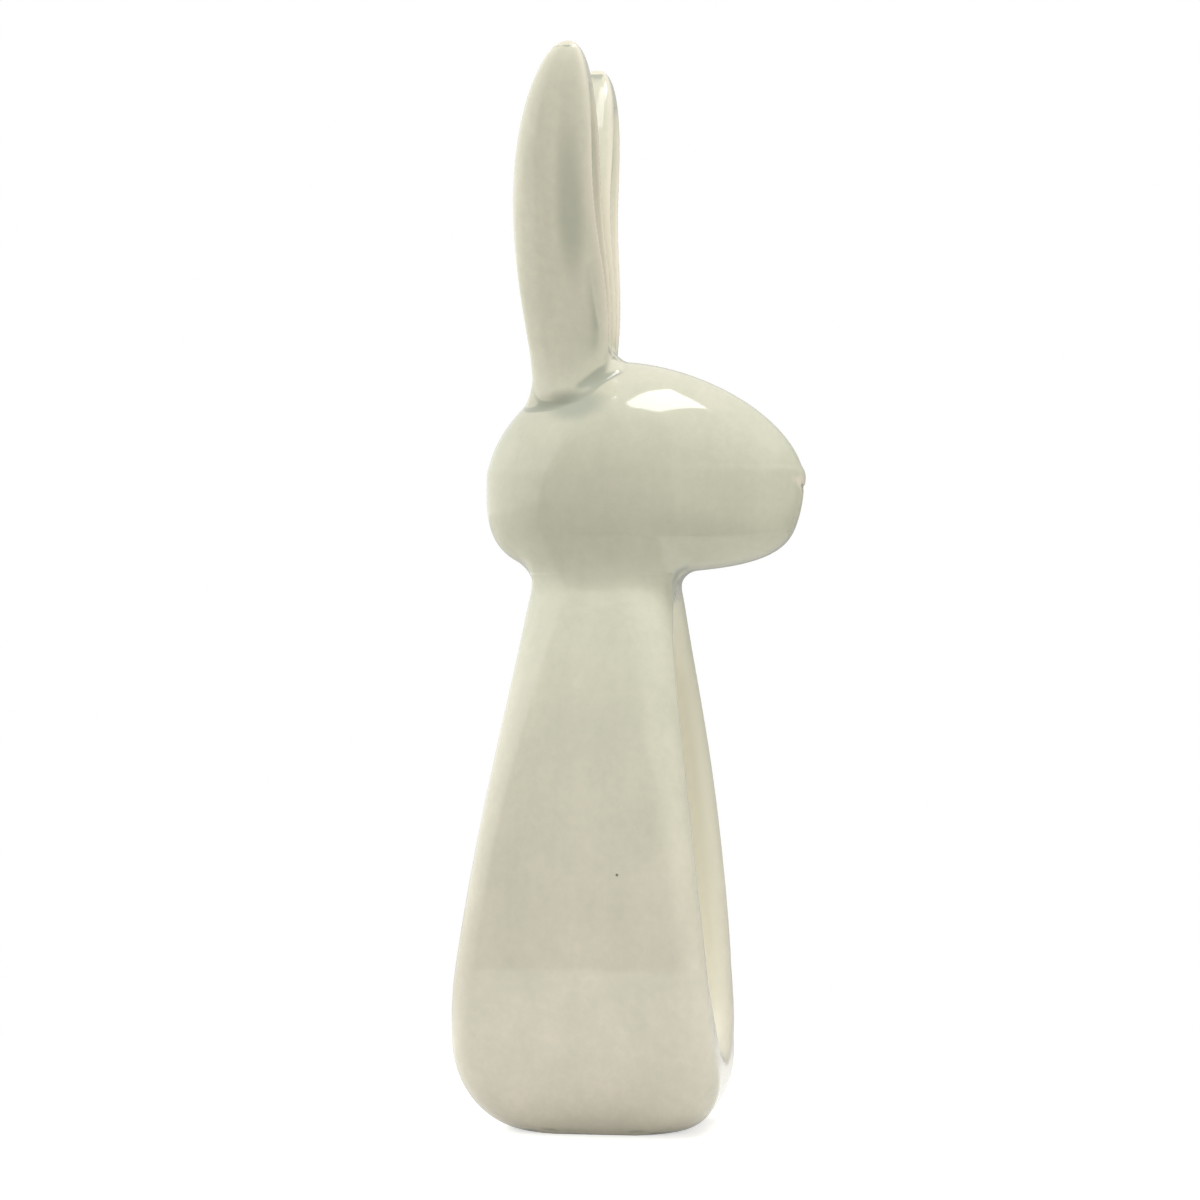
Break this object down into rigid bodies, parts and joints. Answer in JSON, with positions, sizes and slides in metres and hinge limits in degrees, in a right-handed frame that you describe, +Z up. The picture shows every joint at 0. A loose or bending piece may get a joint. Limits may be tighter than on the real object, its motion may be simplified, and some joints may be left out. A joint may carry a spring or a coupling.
{
  "type": "rabbit ornament",
  "caption": "Glazed ceramic rabbit ornament with tall scooped ears and an open loop body on a rounded base.",
  "frame": {"origin": "on the table, under the middle of the whole object's box", "axes": "+Z up; the rabbit faces -Y, and its right side, the one that the picture shows, is towards -X"},
  "size_m": [0.08, 0.096, 0.3],
  "materials": {
    "body_glaze": "gloss",
    "head_glaze": "gloss",
    "ear_glaze": "gloss"
  },
  "bodies": {
    "root": {"body_loop": "body_glaze", "head": "head_glaze", "ear_right": "ear_glaze", "ear_left": "ear_glaze"}
  },
  "joints": []
}
